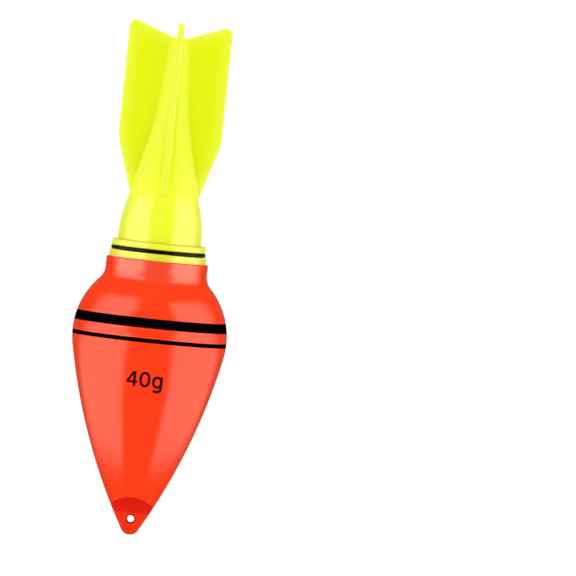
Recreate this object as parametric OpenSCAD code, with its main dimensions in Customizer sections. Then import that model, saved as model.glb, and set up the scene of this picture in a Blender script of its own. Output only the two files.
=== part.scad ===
// Bobber float with a screw-in finned tail that carries a light stick.
// The float's axis is Z, with the tail up. The origin is the centre of the line eye.
// Heights named *_z are measured from the tip of the nose unless a note says otherwise.

/* [Body shells] */
// Largest diameter of the body
belly_d = 45; // [38:0.5:56]
// Height of the belly circle's centre above the tip
belly_z = 58.1; // [48:0.5:72]
// Radius of the rounded tip
tip_r = 2.8; // [2.3:0.1:4]
// Radius of the long curve from tip to belly
flank_r = 172.5; // [120:0.5:260]
// Outside diameter of the neck
neck_d = 29.6; // [28.6:0.1:36]
// Length of the straight part of the neck
neck_len = 3.1; // [2:0.1:8]
// Radius of the hollow curve between belly and neck
shoulder_r = 5; // [3:0.1:8]
// Wall of both shells
wall = 1.5; // [1.2:0.1:2]
// How far the seam lies below the belly circle's centre
seam_drop = 0.6; // [0:0.1:2]
// Height of the lap joint at the seam
seam_lap = 2.5; // [1.5:0.1:4]

/* [Nose and line eye] */
// Diameter of the line eye
eye_d = 2.1; // [1.5:0.1:2.5]
// Height of the line eye
eye_z = 4.7; // [4:0.1:5.2]
// Thickness of the flat lug that the eye goes through
lug_t = 3; // [2.2:0.1:4]
// Height where the flat lug ends and the ramp begins
lug_z = 6.55; // [6:0.05:8]
// Radius of the round outline of the nose recess
recess_r = 8.5; // [7.5:0.1:10]
// Height of the centre of that outline
recess_z = 2.75; // [2:0.05:4]
// Lean of the ramp in the recess, from upright
ramp_angle = 20; // [10:1:30]
// Solid plastic between the recess and the hollow
nose_floor_t = 3.2; // [2:0.1:6]

/* [Ballast] */
// Height of the ballast weight
ballast_h = 7.2; // [5:0.1:11]
// Diameter of the post that the weight sits on
post_d = 4; // [3:0.1:5]
// Outside diameter of the push-on retainer
retainer_d = 11; // [9:0.1:14]
// Thickness of the retainer's sheet steel
retainer_t = 0.6; // [0.4:0.1:1]
// Number of claws on the retainer
retainer_claws = 6; // [4:1:8]
// Height of the post above the retainer
post_end = 1.6; // [1:0.1:3]

/* [Neck collar] */
// How far the collar's rim is set in from the neck
collar_step = 0.65; // [0.3:0.05:1]
// Height of the rim above the neck
collar_rim_h = 2.2; // [1.5:0.1:4]
// Length of the sleeve inside the neck
collar_len = 12; // [11:0.5:16]
// Wall of the sleeve behind its thread
collar_wall = 1.31; // [1:0.01:1.8]

/* [Seal ring] */
// Thickness of the ring's round section
ring_t = 1.1; // [0.8:0.1:1.5]
// How far the ring is set in from the collar's rim
ring_step = 0.35; // [0.1:0.05:0.6]

/* [Screw thread] */
// Depth of the thread
thread_depth = 0.8; // [0.5:0.1:1]
// Rise in one turn
pitch = 3; // [2.5:0.1:4]
// Width of the thread at its foot
thread_foot = 1.75; // [1.2:0.05:1.8]
// Width of the thread at its crest
thread_crest = 0.95; // [0.6:0.05:1.1]
// Turns of thread on the tail
tail_turns = 2.5; // [2:0.25:3]
// Turns of thread in the collar
collar_turns = 3; // [2:0.25:3.25]

/* [Tail] */
// How far the flange is set in from the collar's rim
flange_step = 0.4; // [0:0.05:0.6]
// Thickness of the flange
flange_t = 1.9; // [1.2:0.1:3]
// Rounding of the flange's edges
flange_round = 0.5; // [0.2:0.1:0.6]
// How far the bell's foot is set in from the flange
bell_step = 1.6; // [1.2:0.1:2.4]
// Height of the bell's straight foot above the flange's underside
bell_foot = 3.4; // [2.5:0.1:6]
// Radius of the bell's outward curve
bell_r = 32; // [20:0.5:45]
// Lean of the bell's straight side
bell_angle = 14.4; // [12:0.1:16]
// Height where the inward curve begins, above the flange's underside
waist_z = 28.9; // [24:0.1:32]
// Radius of the inward curve
waist_r = 106; // [80:1:120]
// Lean of the slim top of the core
core_angle = 3.7; // [3:0.1:5]
// Height of the core above the flange's underside
core_h = 61.4; // [56:0.1:74]
// Wall of the hollow tail
tail_wall = 1.3; // [1:0.1:1.6]
// Length of the spigot below the flange's underside
spigot_len = 12.5; // [11:0.1:15]
// Wall of the spigot, measured from the foot of its thread
spigot_wall = 1.2; // [1:0.1:1.6]

/* [Fins] */
// Number of fins
fin_count = 4; // [3:1:6]
// Width across two opposite fins
fin_span = 30; // [26:0.5:38]
// Thickness of a fin
fin_t = 1.5; // [1:0.1:2]
// Height of the fin's foot above the flange's underside
fin_foot = 15.75; // [12:0.05:18]
// Height of the fin's lower corner above the flange's underside
fin_lower = 31.6; // [26:0.1:38]
// Height of the fin's top above the flange's underside
fin_h = 65.7; // [60:0.1:79]
// Slope of the fin's top edge
fin_slope = 20.2; // [0:0.1:30]
// Rounding of the fin's top corner
fin_corner_r = 1.8; // [0.5:0.1:4]
// Rounding of the fin's lower corner
fin_lower_r = 17; // [2:0.5:24]

/* [Light stick] */
// Diameter of the light stick
stick_d = 4.5; // [3.5:0.1:5.4]
// Length of the light stick
stick_len = 38; // [34:0.5:40]
// Wall of its tube
stick_wall = 0.5; // [0.4:0.05:0.6]
// Length of its plug inside the tube
plug_len = 2.5; // [1.5:0.1:4]
// Gap between the glass ampoule and the tube
ampoule_gap = 0.35; // [0.1:0.05:0.6]
// How far the stick stands out of its holder, to be gripped
stick_out = 3; // [2:0.1:5]
// Length of the holder's sleeve
sleeve_len = 12; // [8:0.5:16]
// Wall of the sleeve
sleeve_wall = 1.4; // [1:0.1:2]
// Height of the holder's outer ring
holder_h = 3; // [2:0.1:5]
// Number of spokes in the holder
holder_spokes = 4; // [3:1:6]

/* [Fits] */
// Gap in a glued or welded joint
bond_gap = 0.04; // [0.02:0.01:0.1]
// Gap on each side of the seal ring
ring_gap = 0.05; // [0.03:0.01:0.1]
// Radial gap between the two threads
thread_gap = 0.25; // [0.2:0.01:0.3]
// Radial gap of the light stick in the holder
stick_gap = 0.05; // [0.03:0.01:0.1]
// Radial gap of the light stick in the core
core_gap = 0.2; // [0.15:0.05:0.4]
// Gap between the ballast and the shell
ballast_gap = 0.3; // [0.2:0.05:0.6]

/* [Hidden] */
$fn = 96;
// How far a cut runs past what it cuts, and a joined shape into what it joins
more = 1;
// How far the straight pieces of a drawn arc may lie from the true arc
arc_error = 0.003;
belly_r = belly_d / 2;
neck_r = neck_d / 2;

// The flank is one arc that touches the tip circle and the belly circle from inside.
flank_to_tip = flank_r - tip_r;
flank_to_belly = flank_r - belly_r;
tip_to_belly = belly_z - tip_r;
flank_up = (pow(tip_to_belly, 2) + pow(flank_to_tip, 2) - pow(flank_to_belly, 2)) / (2 * tip_to_belly);
flank_c = [-sqrt(pow(flank_to_tip, 2) - pow(flank_up, 2)), tip_r + flank_up];
flank_top_a = atan2(flank_c[1] - belly_z, -flank_c[0]);
flank_tip_a = atan2(flank_c[1] - tip_r, -flank_c[0]);

// The shoulder is a hollow arc that touches the belly circle and the neck from outside.
shoulder_x = neck_r + shoulder_r;
shoulder_z = belly_z + sqrt(pow(belly_r + shoulder_r, 2) - pow(shoulder_x, 2));
shoulder_a = atan2(shoulder_z - belly_z, shoulder_x);
neck_z = shoulder_z + neck_len;
seam_z = belly_z - seam_drop;

floor_z = recess_z + recess_r + nose_floor_t;
post_z = floor_z + ballast_h + bond_gap + retainer_t + post_end;

collar_z = neck_z + collar_rim_h;
collar_foot = neck_z - collar_len;
collar_r = neck_r - collar_step;
sleeve_out_r = neck_r - wall - bond_gap;

ring_out_r = collar_r - ring_step;
ring_mid_r = ring_out_r - ring_t / 2;
land_r = ring_out_r - ring_t - ring_gap;
ring_z = collar_z + ring_gap + ring_t / 2;
// The flange's underside, from which the tail is measured
tail_z = collar_z + ring_t + 2 * ring_gap;

female_root = sleeve_out_r - collar_wall;
female_crest = female_root - thread_depth;
male_r = female_root - thread_gap;
male_root = male_r - thread_depth;
// Plain bore above the collar's thread
thread_clear = 1;
// The collar's thread starts below the mouth, and the tail's meshes half a pitch away from it.
collar_thread_z = collar_z - thread_clear - thread_foot / 2 - collar_turns * pitch;
tail_thread_z = collar_thread_z + pitch / 2;
// How far a thread's foot reaches into its wall, and the steps in one turn
thread_bite = 0.4;
thread_steps = 48;

flange_r = collar_r - flange_step;
bell_foot_r = flange_r - bell_step;
bell_c = [bell_foot_r - bell_r, tail_z + bell_foot];
bell_end = bell_c + bell_r * [cos(bell_angle), sin(bell_angle)];
waist_start = [bell_end[0] - (tail_z + waist_z - bell_end[1]) * tan(bell_angle), tail_z + waist_z];
waist_c = waist_start + waist_r * [cos(bell_angle), sin(bell_angle)];
waist_end = waist_c - waist_r * [cos(core_angle), sin(core_angle)];
core_z = tail_z + core_h;
dome_r = (waist_end[0] - (core_z - waist_end[1]) * tan(core_angle))
    / (cos(core_angle) - (1 - sin(core_angle)) * tan(core_angle));

spigot_r = male_root - spigot_wall;
holder_r = spigot_r - bond_gap;
inner_end = bell_end - tail_wall * [cos(bell_angle), sin(bell_angle)];
holder_z = inner_end[1] + (inner_end[0] - holder_r) / tan(bell_angle) - holder_h;
stick_r = stick_d / 2;
stick_z = holder_z - stick_out;
stick_top = stick_z + stick_len;
sleeve_r = stick_r + stick_gap;
core_bore = stick_r + core_gap;
stick_inner = stick_r - stick_wall;
ampoule_r = stick_inner - ampoule_gap;

// Points on an arc, from angle a to angle b
function arc(c, r, a, b) =
    let (n = ceil(abs(b - a) * PI / 180 / sqrt(8 * arc_error / r)))
    [for (i = [0:n]) c + r * [cos(a + (b - a) * i / n), sin(a + (b - a) * i / n)]];

function reversed(list) = [for (i = [len(list) - 1:-1:0]) list[i]];

// From the tip to the seam, set in by t from the outside
function lower_side(t) = concat(
    arc([0, tip_r], tip_r - t, -90, -flank_tip_a),
    arc(flank_c, flank_r - t, -flank_tip_a, -flank_top_a),
    arc([0, belly_z], belly_r - t, -flank_top_a, -asin(seam_drop / (belly_r - t)))
);

// From the seam to the top of the neck, set in by t from the outside
function upper_side(t) = concat(
    arc([0, belly_z], belly_r - t, -asin(seam_drop / (belly_r - t)), shoulder_a),
    arc([shoulder_x, shoulder_z], shoulder_r + t, 180 + shoulder_a, 180),
    [[neck_r - t, neck_z]]
);

// From the bell's foot to the top of the waist, set in by t from the outside
function bell_side(t) = concat(
    arc(bell_c, bell_r - t, 0, bell_angle),
    arc(waist_c, waist_r + t, 180 + bell_angle, 180 + core_angle)
);

function flank_inside(z) = flank_c[0] + sqrt(pow(flank_r - wall, 2) - pow(z - flank_c[1], 2));

// Heights are from the tip, and the part's origin is the line eye.
module place() {
    translate([0, 0, -eye_z])
        children();
}

module ring_shape(r_out, r_in, h) {
    difference() {
        cylinder(r = r_out, h = h);
        translate([0, 0, -more])
            cylinder(r = r_in, h = h + 2 * more);
    }
}

// A thread ridge on radius foot_r, standing out to crest_r, or in if crest_r is the smaller
module thread_ridge(foot_r, crest_r, z, turns) {
    side = crest_r > foot_r ? 1 : -1;
    n = turns * thread_steps;
    section = [[foot_r - side * thread_bite, -thread_foot / 2], [crest_r, -thread_crest / 2],
               [crest_r, thread_crest / 2], [foot_r - side * thread_bite, thread_foot / 2]];
    points = [for (i = [0:n], p = section)
        let (a = i * 360 / thread_steps)
        [p[0] * cos(a), p[0] * sin(a), z + p[1] + i * pitch / thread_steps]];
    sides = [for (i = [0:n - 1], j = [0:3])
        let (a = 4 * i + j, b = 4 * i + (j + 1) % 4)
        each [[a, b, b + 4], [a, b + 4, a + 4]]];
    ends = [[3, 2, 1, 0], [4 * n, 4 * n + 1, 4 * n + 2, 4 * n + 3]];
    faces = concat(sides, ends);
    polyhedron(points, side < 0 ? [for (f = faces) reversed(f)] : faces);
}

// The pocket that leaves the flat lug, cut from one side of the nose
module nose_recess() {
    reach = belly_r;
    ramp_top = [lug_t / 2 + reach * tan(ramp_angle), lug_z + reach];
    intersection() {
        translate([0, 0, recess_z])
            rotate([-90, 0, 0])
                cylinder(r = recess_r, h = reach);
        translate([-reach, 0, 0])
            rotate([90, 0, 90])
                linear_extrude(height = 2 * reach)
                    polygon([[lug_t / 2, -reach], [lug_t / 2, lug_z], ramp_top,
                             [ramp_top[0] + reach, ramp_top[1]], [ramp_top[0] + reach, -reach]]);
    }
}

module lower_shell() {
    color("orangered") place() {
        difference() {
            rotate_extrude()
                polygon(concat([[0, seam_z]], lower_side(0)));
            difference() {
                rotate_extrude()
                    polygon(concat([[0, seam_z + more], [belly_r - wall, seam_z + more]],
                        reversed(lower_side(wall))));
                translate([0, 0, -more])
                    cylinder(r = belly_r, h = floor_z + more);
            }
            for (turn = [0, 180])
                rotate(turn)
                    nose_recess();
            translate([0, 0, eye_z])
                rotate([90, 0, 0])
                    cylinder(r = eye_d / 2, h = belly_d, center = true);
        }
        // The tongue of the lap joint
        translate([0, 0, seam_z - wall])
            ring_shape(belly_r - wall / 2 - bond_gap, belly_r - wall, seam_lap + wall - bond_gap);
        translate([0, 0, floor_z - more])
            cylinder(d = post_d, h = post_z - floor_z + more);
    }
}

module upper_shell() {
    color("orangered") place() difference() {
        rotate_extrude()
            polygon(concat(upper_side(0), reversed(upper_side(wall))));
        translate([0, 0, seam_z - more])
            cylinder(r = belly_r - wall / 2, h = seam_lap + more);
        // The lower shell's edge butts against this one.
        translate([0, 0, seam_z - more])
            cylinder(r = belly_d, h = more + bond_gap);
    }
}

module neck_collar() {
    color("yellow") place() {
        difference() {
            union() {
                translate([0, 0, neck_z + bond_gap])
                    cylinder(r = collar_r, h = collar_rim_h - bond_gap);
                translate([0, 0, collar_foot])
                    cylinder(r = sleeve_out_r, h = collar_len + more);
            }
            translate([0, 0, collar_foot - more])
                cylinder(r = female_root, h = collar_z - collar_foot + 2 * more);
        }
        thread_ridge(female_root, female_crest, collar_thread_z, collar_turns);
    }
}

module ballast_weight() {
    z = floor_z + bond_gap;
    color("silver") place() difference() {
        translate([0, 0, z])
            cylinder(r1 = flank_inside(z) - ballast_gap, r2 = flank_inside(z + ballast_h) - ballast_gap,
                h = ballast_h);
        translate([0, 0, z - more])
            cylinder(r = post_d / 2 + ballast_gap, h = ballast_h + 2 * more);
    }
}

module ballast_retainer() {
    slot_w = 0.8;
    hub_r = post_d / 2 + bond_gap;
    z = floor_z + ballast_h + 2 * bond_gap;
    color("silver") place() translate([0, 0, z]) difference() {
        ring_shape(retainer_d / 2, hub_r, retainer_t);
        for (i = [0:retainer_claws - 1])
            rotate(i * 360 / retainer_claws)
                translate([0, -slot_w / 2, -more])
                    cube([hub_r + (retainer_d / 2 - hub_r) / 2, slot_w, retainer_t + 2 * more]);
    }
}

module seal_ring() {
    color("black") place() translate([0, 0, ring_z])
        rotate_extrude()
            translate([ring_mid_r, 0])
                circle(d = ring_t);
}

module fin() {
    lean = atan2(fin_span / 2 - fin_foot_r(), fin_lower - fin_foot);
    lower = [fin_span / 2, tail_z + fin_lower];
    // Each corner is an arc that touches both of its edges.
    lower_cut = fin_lower_r * tan(lean / 2);
    lower_c = [fin_span / 2 - fin_lower_r, lower[1] + lower_cut];
    top_c = [fin_span / 2 - fin_corner_r, tail_z + fin_h - fin_corner_r];
    top_end = top_c + fin_corner_r * [-sin(fin_slope), cos(fin_slope)];
    translate([0, fin_t / 2, 0])
        rotate([90, 0, 0])
            linear_extrude(height = fin_t)
                polygon(concat([[0, tail_z + fin_foot], [fin_foot_r(), tail_z + fin_foot]],
                    arc(lower_c, fin_lower_r, -lean, 0),
                    arc(top_c, fin_corner_r, 0, 90 + fin_slope),
                    [[0, top_end[1] - top_end[0] * tan(fin_slope)]]));
}

// Outside radius of the core at the fin's foot
function fin_foot_r() = bell_end[0] - (tail_z + fin_foot - bell_end[1]) * tan(bell_angle);

module tail_outside() {
    // Core and bell
    rotate_extrude()
        polygon(concat([[0, tail_z + flange_t / 2], [bell_foot_r, tail_z + flange_t / 2]], bell_side(0),
            arc([0, core_z - dome_r], dome_r, core_angle, 90)));
    // Flange, with rounded edges
    rotate_extrude()
        polygon(concat([[0, tail_z]],
            arc([flange_r - flange_round, tail_z + flange_round], flange_round, -90, 0),
            arc([flange_r - flange_round, tail_z + flange_t - flange_round], flange_round, 0, 90),
            [[0, tail_z + flange_t]]));
    for (i = [0:fin_count - 1])
        rotate(i * 360 / fin_count)
            fin();
    // Seat of the seal ring, then the spigot
    translate([0, 0, collar_z + 2 * ring_gap])
        cylinder(r = land_r, h = tail_z - collar_z);
    translate([0, 0, tail_z - spigot_len])
        cylinder(r = male_root, h = spigot_len + flange_t / 2);
}

module tail() {
    low = tail_z - spigot_len - more;
    color("yellow", 0.9) place() {
        difference() {
            tail_outside();
            // The hollow follows the bell, and is never wider than the spigot's bore.
            intersection() {
                rotate_extrude()
                    polygon(concat([[0, low], [bell_foot_r - tail_wall, low]], bell_side(tail_wall),
                        [[0, waist_end[1]]]));
                translate([0, 0, low])
                    cylinder(r = spigot_r, h = waist_end[1] - low);
            }
            translate([0, 0, low])
                cylinder(r = core_bore, h = stick_top + core_gap - low);
        }
        thread_ridge(male_root, male_r, tail_thread_z, tail_turns);
    }
}

module stick_holder() {
    color("white") place() translate([0, 0, holder_z]) {
        ring_shape(holder_r, holder_r - sleeve_wall, holder_h);
        ring_shape(sleeve_r + sleeve_wall, sleeve_r, sleeve_len);
        for (i = [0:holder_spokes - 1])
            rotate(i * 360 / holder_spokes)
                translate([sleeve_r + sleeve_wall / 2, -sleeve_wall / 2, 0])
                    cube([holder_r - sleeve_r - sleeve_wall, sleeve_wall, holder_h]);
    }
}

module stick_tube() {
    top = [0, stick_top - stick_r];
    color("greenyellow", 0.6) place()
        rotate_extrude()
            polygon(concat([[stick_inner, stick_z], [stick_r, stick_z]], arc(top, stick_r, 0, 90),
                reversed(arc(top, stick_inner, 0, 90))));
}

module stick_plug() {
    color("white") place() translate([0, 0, stick_z])
        cylinder(r = stick_inner - bond_gap, h = plug_len);
}

module stick_ampoule() {
    low = stick_z + plug_len + ampoule_gap + ampoule_r;
    high = stick_top - stick_r;
    color("lightcyan", 0.5) place() {
        translate([0, 0, low])
            cylinder(r = ampoule_r, h = high - low);
        for (z = [low, high])
            translate([0, 0, z])
                sphere(r = ampoule_r);
    }
}

lower_shell();
upper_shell();
neck_collar();
ballast_weight();
ballast_retainer();
seal_ring();
tail();
stick_holder();
stick_tube();
stick_plug();
stick_ampoule();
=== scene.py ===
import math

import bmesh
import bpy
import numpy as np
from mathutils import Matrix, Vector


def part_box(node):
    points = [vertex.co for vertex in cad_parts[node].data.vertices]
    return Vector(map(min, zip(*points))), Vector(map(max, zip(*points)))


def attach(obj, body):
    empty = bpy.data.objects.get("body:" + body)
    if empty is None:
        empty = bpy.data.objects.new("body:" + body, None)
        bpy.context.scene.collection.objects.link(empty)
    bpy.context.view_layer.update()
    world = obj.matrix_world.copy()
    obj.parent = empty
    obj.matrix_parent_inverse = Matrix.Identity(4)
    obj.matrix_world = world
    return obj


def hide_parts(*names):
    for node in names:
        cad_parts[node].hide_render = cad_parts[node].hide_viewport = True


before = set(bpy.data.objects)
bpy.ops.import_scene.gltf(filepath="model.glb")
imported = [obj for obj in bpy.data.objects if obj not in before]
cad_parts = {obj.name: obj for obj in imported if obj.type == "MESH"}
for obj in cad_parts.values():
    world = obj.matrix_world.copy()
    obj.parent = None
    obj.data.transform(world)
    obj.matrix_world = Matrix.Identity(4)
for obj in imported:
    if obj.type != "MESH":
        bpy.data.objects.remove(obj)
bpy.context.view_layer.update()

mm = 0.001
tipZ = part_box("lower_shell")[0].z  # the tip of the nose; profiles below are in mm from it


def lowest(node):
    # a CAD node's lowest height, in mm from the tip
    return (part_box(node)[0].z - tipZ) / mm


def highest(node):
    # and its highest
    return (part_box(node)[1].z - tipZ) / mm


def inFrame(height):
    # a height in mm from the tip as a z of the frame
    return height * mm + tipZ


print("frame loaded")


# Shapes are profiles and grids of points, in mm from the tip.
def arc(centre, radius, start, end, count):
    # points at centre + radius * (cos a, sin a), a going from start to end in degrees
    a = np.radians(np.linspace(start, end, count + 1))
    return np.column_stack([centre[0] + radius * np.cos(a), centre[1] + radius * np.sin(a)])


def roundedPath(corners, steps=4):
    # a path of straight sides through corners (r, z, rounding): each rounding is an arc that
    # touches both sides, its centre on the line that halves the corner
    points = [np.array([corners[0][:2]])]
    for before, here, after in zip(corners, corners[1:], corners[2:]):
        p = np.array(here[:2])
        u, v = np.array(before[:2]) - p, np.array(after[:2]) - p
        u, v = u / np.linalg.norm(u), v / np.linalg.norm(v)
        half = math.acos(np.clip(u @ v, -1, 1)) / 2
        if here[2] == 0 or abs(math.cos(half)) < 1e-6:
            points.append(p[None])
            continue
        centre = p + (u + v) / np.linalg.norm(u + v) * here[2] / math.sin(half)
        start, end = p + u * here[2] / math.tan(half), p + v * here[2] / math.tan(half)
        t = np.linspace(0, 1, steps + 1)[:, None]
        chord = start + (end - start) * t - centre
        points.append(centre + chord / np.linalg.norm(chord, axis=1, keepdims=True) * here[2])
    points.append(np.array([corners[-1][:2]]))
    return np.concatenate(points)


def sideLengths(path):
    # the length of each side of a path
    return np.linalg.norm(np.diff(path, axis=0), axis=1)


def runAlong(path):
    # distance from a path's start to each of its points
    return np.concatenate([[0], np.cumsum(sideLengths(path))])


def atRun(path, at):
    # the points of a path at distances from its start
    run = runAlong(path)
    return np.column_stack([np.interp(at, run, path[:, 0]), np.interp(at, run, path[:, 1])])


def spread(profile, spacing):
    # the same path with points at most one spacing apart
    at = runAlong(profile)
    steps = [max(1, math.ceil(side / spacing)) + 1 for side in sideLengths(profile)]
    s = np.concatenate([np.linspace(a, b, n) for a, b, n in zip(at, at[1:], steps) if b > a])
    return atRun(profile, np.unique(np.round(s, 9)))


def ring(count):
    # angles of even steps round the circle
    return np.arange(count) * 2 * math.pi / count


def smoothStep(x):
    # 0 below 0, 1 above 1, and x^2 (3 - 2x) between
    x = np.clip(x, 0, 1)
    return x * x * (3 - 2 * x)


def unit(angle):
    # the direction (cos, sin) of an angle
    return np.array([math.cos(angle), math.sin(angle)])


def polar(r, a, z):
    # points (r cos a, r sin a, z)
    return np.stack(np.broadcast_arrays(r * np.cos(a), r * np.sin(a), z), -1)


def revolve(profile, angles):
    # a profile (r, z) turned about the axis
    return polar(profile[:, :1], angles, profile[:, 1:])


def turned(profile, angles):
    # the same as the one closed grid of a mesh
    return [(revolve(profile, angles), True)]


def gridFaces(rows, columns, closed):
    # four corners of each cell of a grid; a closed grid also joins its last column to its first
    last = columns if closed else columns - 1
    i, j = np.meshgrid(np.arange(rows - 1), np.arange(last), indexing="ij")
    here, k = i * columns, (j + 1) % columns
    corners = [here + j, here + k, here + columns + k, here + columns + j]
    return np.stack(corners, -1).reshape(-1, 4)


def weldedMesh(name, patches, sharp=40):
    # patches are (points, closed) grids whose shared edges have the same points; they are joined there
    points, faces, first = [], [], 0
    for grid, closed in patches:
        rows, columns = grid.shape[:2]
        points.append(grid.reshape(-1, 3))
        faces.append(gridFaces(rows, columns, closed) + first)
        first += rows * columns
    points, faces = np.concatenate(points) * mm + [0, 0, tipZ], np.concatenate(faces)
    mesh = bpy.data.meshes.new(name)
    mesh.from_pydata(points, [], faces)
    cleanMesh(mesh, sharp)
    return mesh


def cleanMesh(mesh, sharp):
    # seams and poles are closed, and the faces of the closed shell then turned outwards
    work = bmesh.new()
    work.from_mesh(mesh)
    bmesh.ops.remove_doubles(work, verts=work.verts, dist=1e-6)
    bmesh.ops.dissolve_degenerate(work, edges=work.edges, dist=5e-7)
    bmesh.ops.recalc_face_normals(work, faces=work.faces)
    work.to_mesh(mesh)
    work.free()
    mesh.shade_smooth()
    mesh.set_sharp_from_angle(angle=math.radians(sharp))


def pointsOf(mesh):
    # x, y and z of a mesh's points, in mm from the tip
    co = np.empty(len(mesh.vertices) * 3, np.float32)
    mesh.vertices.foreach_get("co", co)
    return (co.reshape(-1, 3) - [0, 0, tipZ]).T / mm


def setPointValues(mesh, name, values):
    # one value for each point, under a name that a material can read
    layer = mesh.attributes.new(name, "FLOAT", "POINT")
    layer.data.foreach_set("value", values.astype(np.float32))


def addObject(name, data):
    added = bpy.data.objects.new(name, data)
    bpy.context.scene.collection.objects.link(added)
    return added


def addPiece(name, mesh, material, carrier, node=None):
    # a piece that rides on a body of the frame, and may take a CAD node's place
    piece = addObject(name, mesh)
    mesh.materials.append(material)
    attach(piece, carrier)
    if node:
        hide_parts(node)


# The screw thread that collar and tail share
screw = {
    "pitch": 3,
    "foot": 0.742,  # half the ridge's width at its foot
    "crest": 0.475,  # and at its crest
    "depth": 0.8,
    "fade": 0.12,  # part of a turn
}


def threadRidge(angle, z, thread):
    # height of a screw thread: a trapezoid about the helix z = start + pitch * angle / 360,
    # which fades in and out over a part of a turn at its ends
    t = (z - thread["start"]) / thread["pitch"] - angle / (2 * math.pi)
    k = np.round(t)
    away = np.abs(t - k) * thread["pitch"]
    turn = angle / (2 * math.pi) + k
    fade = smoothStep(turn / thread["fade"]) * smoothStep((thread["turns"] - turn) / thread["fade"])
    side = (thread["foot"] - away) / (thread["foot"] - thread["crest"])
    return thread["depth"] * fade * smoothStep(side)


def threadedWall(radius, side, low, high, thread, columns):
    # a cylinder of the given radius plus side * threadRidge. Its rows climb one pitch per turn with
    # the thread, so one turn's last column meets the first column one pitch higher; a wedge of rows
    # that grows from nothing to one pitch fills in below, and one that shrinks fills in above
    pitch, foot, crest = thread["pitch"], thread["foot"], thread["crest"]
    flat, plain = 0.15, 1.1  # rows on the ridge's crest and on the plain wall, from its middle
    closest = 0.02  # rows nearer than this to a turn's start are left out
    slope = foot + (crest - foot) * np.array([0, 0.2, 0.5, 0.8, 1])
    half = np.concatenate([[plain, foot + 0.1], slope, [flat]])
    rows = np.concatenate([[-pitch / 2], -half, half[::-1]]) + thread["start"]
    rows = (rows + np.arange(-12, 12)[:, None] * pitch).ravel()
    kept = (rows > low + closest) & (rows < low + pitch - closest)
    rows = np.concatenate([[low], rows[kept], [low + pitch]])
    period = rows - low
    lap = int((high - low) // pitch)
    climb = [low + period[:-1] + pitch * k for k in range(lap - 1)]
    climb = np.concatenate(climb + [[low + pitch * (lap - 1)]])
    turn = np.linspace(0, 1, columns + 1)
    main = climb[:, None] + pitch * turn
    under = low + period[:, None] * turn
    top = low + pitch * (lap - 1)
    over = top + period[:, None] + (pitch - period[:, None]) * turn
    end = low + pitch * lap
    rest = np.linspace(end, high, 4)[:, None]
    a = 2 * math.pi * turn
    walls = [(radius + side * threadRidge(a, z, thread), z) for z in (under, main, over, rest)]
    return [(polar(r, a, z), False) for r, z in walls]


# The body's outline, which both shells, the bands and the mark follow
body = {
    "bellyRadius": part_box("upper_shell")[1].x / mm,
    "bellyHeight": 58.1,
    "tipRadius": 2.8,
    "flankRadius": 172.5,
    "neckRadius": 14.8,
    "shoulderRadius": 5,
    "wall": 1.5,
    "seamHeight": lowest("upper_shell"),
    "neckHeight": highest("upper_shell"),
    "seamLap": 2.5,
    "seamEdge": 0.08,
    "lapRounding": 0.2,
    "mouthRounding": 0.14,
    "bond": 0.04,  # the gap that holds the adhesive
    "floorHeight": 14.45,
    "postRadius": 2,
    "postHeight": highest("ballast_retainer") + 1.6,
    "postRounding": 0.3,
    "steps": {"tip": 48, "flank": 90, "belly": 72, "shoulder": 24},
}


def bodyOutline(inset=0):
    # tip circle, long flank arc, belly circle, hollow shoulder arc and neck, each touching the next
    b, steps = body, body["steps"]
    toTip, toBelly = b["flankRadius"] - b["tipRadius"], b["flankRadius"] - b["bellyRadius"]
    rise = b["bellyHeight"] - b["tipRadius"]
    up = (rise ** 2 + toTip ** 2 - toBelly ** 2) / (2 * rise)
    flank = np.array([-math.sqrt(toTip ** 2 - up ** 2), b["tipRadius"] + up])
    tipAngle = math.degrees(math.atan2(flank[1] - b["tipRadius"], -flank[0]))
    topAngle = math.degrees(math.atan2(flank[1] - b["bellyHeight"], -flank[0]))
    reach = b["neckRadius"] + b["shoulderRadius"]
    lift = math.sqrt((b["bellyRadius"] + b["shoulderRadius"]) ** 2 - reach ** 2)
    shoulder = np.array([reach, b["bellyHeight"] + lift])
    lean = math.degrees(math.atan2(shoulder[1] - b["bellyHeight"], reach))
    return np.concatenate([
        arc((0, b["tipRadius"]), b["tipRadius"] - inset, -90, -tipAngle, steps["tip"]),
        arc(flank, b["flankRadius"] - inset, -tipAngle, -topAngle, steps["flank"])[1:],
        arc((0, b["bellyHeight"]), b["bellyRadius"] - inset, -topAngle, lean, steps["belly"])[1:],
        arc(shoulder, b["shoulderRadius"] + inset, 180 + lean, 180, steps["shoulder"])[1:],
        [[b["neckRadius"] - inset, b["neckHeight"]]],
    ])


outline, innerOutline = bodyOutline(), bodyOutline(body["wall"])


def bodyRadius(z, path=outline):
    # how wide the body is at a height
    return np.interp(z, path[:, 1], path[:, 0])


def between(path, low, high, spacing):
    # the part of an outline between two heights, with its end points put in
    inside = path[(path[:, 1] > low + 1e-6) & (path[:, 1] < high - 1e-6)]
    ends = [[bodyRadius(z, path), z] for z in (low, high)]
    return spread(np.concatenate([ends[:1], inside, ends[1:]]), spacing)


# Printed bands: the shells are drawn in under each by the thickness of the ink
bands = {
    "film": 0.03,
    "bed": 0.02,
    "shy": 0.007,  # how far a film ends before its bed does
    "air": 0.0045,  # between a film and its bed
    "wide": (61.17, 64.03),
    "thin": (56.97, 58.19),
}


def underInk(profile):
    # the outline moved inwards where a band lies on it
    r = profile[:, 0].copy()
    for low, high in (bands["wide"], bands["thin"]):
        rise, fall = profile[:, 1] - low, high - profile[:, 1]
        r -= bands["film"] * smoothStep(rise / bands["bed"]) * smoothStep(fall / bands["bed"])
    return np.column_stack([r, profile[:, 1]])


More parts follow.
